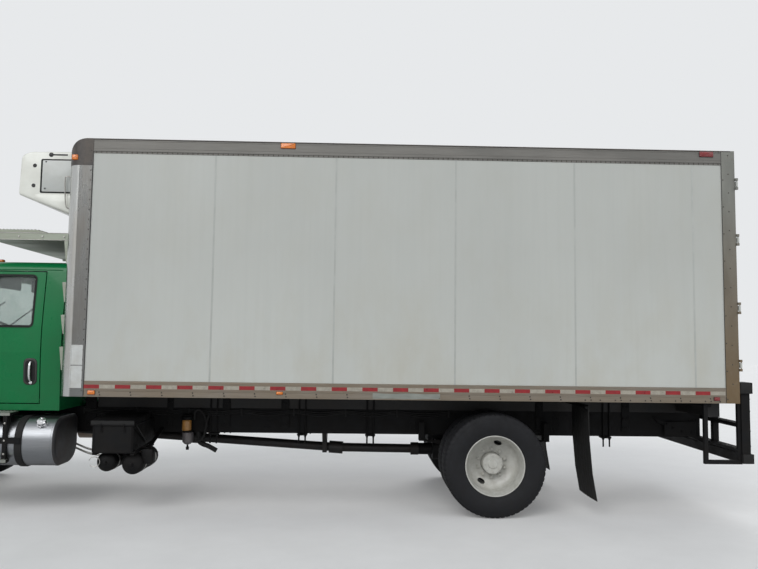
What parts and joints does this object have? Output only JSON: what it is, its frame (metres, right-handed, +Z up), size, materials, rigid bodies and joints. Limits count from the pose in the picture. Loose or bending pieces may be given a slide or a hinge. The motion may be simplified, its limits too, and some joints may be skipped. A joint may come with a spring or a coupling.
{
  "type": "refrigerated truck",
  "caption": "Conventional day-cab straight truck with an insulated box body, nose-mounted refrigeration unit, catwalk over the cab and rear step with underride guard.",
  "frame": {"origin": "on the ground under the middle of the truck's outline", "axes": "+X towards the front bumper, +Y to the truck's left side, +Z up"},
  "size_m": [9.76, 2.67, 3.765],
  "materials": {
    "cab_green": "glossy dark green paint",
    "box_white": "satin white panel, slightly soiled",
    "rail_aluminium": "mill finish, weathered",
    "floor_aluminium": "mill finish, worn",
    "post_steel": "polished stainless, streaky reflections",
    "frame_steel": "painted and stainless frame, weathered",
    "chassis_black": "chassis black, dusty",
    "engine_iron": "painted iron",
    "shaft_steel": "bare steel, surface rust",
    "tank_aluminium": "bright aluminium drum",
    "muffler_steel": "heat stained aluminized steel",
    "flap_rubber": "ribbed black rubber",
    "bumper_chrome": "bright plated",
    "window_glass": "clear, faintly tinted",
    "dash_plastic": "grained plastic",
    "seat_fabric": "woven cloth",
    "lamp_lens": "moulded lens",
    "reefer_white": "cream white moulded covers",
    "mirror_black": "black moulded housing",
    "rim_white": "white painted steel, dusty",
    "tyre_rubber": "dusty tread rubber"
  },
  "bodies": {
    "root": {"chassis_frame": "chassis_black", "front_axle": "chassis_black", "rear_axle": "chassis_black", "leaf_springs": "chassis_black", "engine": "engine_iron", "drive_shaft": "shaft_steel", "fuel_tank": "tank_aluminium", "tank_steps": "chassis_black", "battery_box": "chassis_black", "muffler": "muffler_steel", "rear_step": "chassis_black", "mud_flaps": "flap_rubber", "front_bumper": "bumper_chrome", "cab_shell": "cab_green", "cab_glass": "window_glass", "dashboard": "dash_plastic", "seats": "seat_fabric", "box_floor": "floor_aluminium", "box_wall_left": "box_white", "box_wall_right": "box_white", "box_wall_front": "box_white", "box_roof": "box_white", "box_rails": "rail_aluminium", "box_front_posts": "post_steel", "box_rear_frame": "frame_steel", "marker_lamps": "lamp_lens", "reefer_unit": "reefer_white", "catwalk": "rail_aluminium"},
    "door_left": {"cab_door_left": "cab_green", "door_glass_left": "window_glass", "mirror_left": "mirror_black"},
    "door_right": {"cab_door_right": "cab_green", "door_glass_right": "window_glass", "mirror_right": "mirror_black"},
    "hood": {"hood": "cab_green", "grille": "bumper_chrome", "headlamps": "window_glass"},
    "rear_door_left": {"rear_door_left": "box_white", "lock_rods_left": "frame_steel"},
    "rear_door_right": {"rear_door_right": "box_white", "lock_rods_right": "frame_steel"},
    "knuckle_left": {"knuckle_left": "chassis_black"},
    "knuckle_right": {"knuckle_right": "chassis_black"},
    "tie_rod": {"tie_rod": "chassis_black"},
    "steering_wheel": {"steering_wheel": "dash_plastic"},
    "front_wheel_left": {"front_tyre_left": "tyre_rubber", "front_rim_left": "rim_white"},
    "front_wheel_right": {"front_tyre_right": "tyre_rubber", "front_rim_right": "rim_white"},
    "rear_wheel_left": {"rear_tyres_left": "tyre_rubber", "rear_rims_left": "rim_white"},
    "rear_wheel_right": {"rear_tyres_right": "tyre_rubber", "rear_rims_right": "rim_white"}
  },
  "joints": [
    {"name": "steer_left", "type": "hinge", "parent": "root", "child": "knuckle_left", "pos_m": [3.84, 0.85, 0.52], "axis": [0, 0, 1], "range_deg": [-38, 38]},
    {"name": "steer_right", "type": "hinge", "parent": "root", "child": "knuckle_right", "pos_m": [3.84, -0.85, 0.52], "axis": [0, 0, 1], "range_deg": [-38, 38]},
    {"name": "tie_rod_turn", "type": "hinge", "parent": "knuckle_left", "child": "tie_rod", "pos_m": [3.65, 0.85, 0.412], "axis": [0, 0, 1], "range_deg": [-38, 38]},
    {"name": "steering_wheel_turn", "type": "hinge", "parent": "root", "child": "steering_wheel", "pos_m": [2.95, 0.44, 1.8], "axis": [-0.5812, 0, 0.8137], "range_deg": [-532, 532]},
    {"name": "front_wheel_left_spin", "type": "hinge", "parent": "knuckle_left", "child": "front_wheel_left", "pos_m": [3.84, 1.005, 0.52], "axis": [0, 1, 0], "continuous": true},
    {"name": "front_wheel_right_spin", "type": "hinge", "parent": "knuckle_right", "child": "front_wheel_right", "pos_m": [3.84, -1.005, 0.52], "axis": [0, 1, 0], "continuous": true},
    {"name": "rear_wheel_left_spin", "type": "hinge", "parent": "root", "child": "rear_wheel_left", "pos_m": [-2.28, 0.905, 0.52], "axis": [0, 1, 0], "continuous": true},
    {"name": "rear_wheel_right_spin", "type": "hinge", "parent": "root", "child": "rear_wheel_right", "pos_m": [-2.28, -0.905, 0.52], "axis": [0, 1, 0], "continuous": true},
    {"name": "cab_door_left_swing", "type": "hinge", "parent": "root", "child": "door_left", "pos_m": [3.24, 1.036, 1.43], "axis": [0, 0, 1], "range_deg": [-68, 0]},
    {"name": "cab_door_right_swing", "type": "hinge", "parent": "root", "child": "door_right", "pos_m": [3.24, -1.036, 1.43], "axis": [0, 0, 1], "range_deg": [0, 68]},
    {"name": "hood_tilt", "type": "hinge", "parent": "root", "child": "hood", "pos_m": [4.772, 0, 0.812], "axis": [0, 1, 0], "range_deg": [0, 60]},
    {"name": "rear_door_left_swing", "type": "hinge", "parent": "root", "child": "rear_door_left", "pos_m": [-4.755, 1.301, 2.49], "axis": [0, 0, 1], "range_deg": [-270, 0]},
    {"name": "rear_door_right_swing", "type": "hinge", "parent": "root", "child": "rear_door_right", "pos_m": [-4.755, -1.301, 2.49], "axis": [0, 0, 1], "range_deg": [0, 270]}
  ],
  "couplings": [
    {"joint": "steer_right", "follows": "steer_left", "ratio": 1},
    {"joint": "tie_rod_turn", "follows": "steer_left", "ratio": -1},
    {"joint": "steering_wheel_turn", "follows": "steer_left", "ratio": 14}
  ]
}
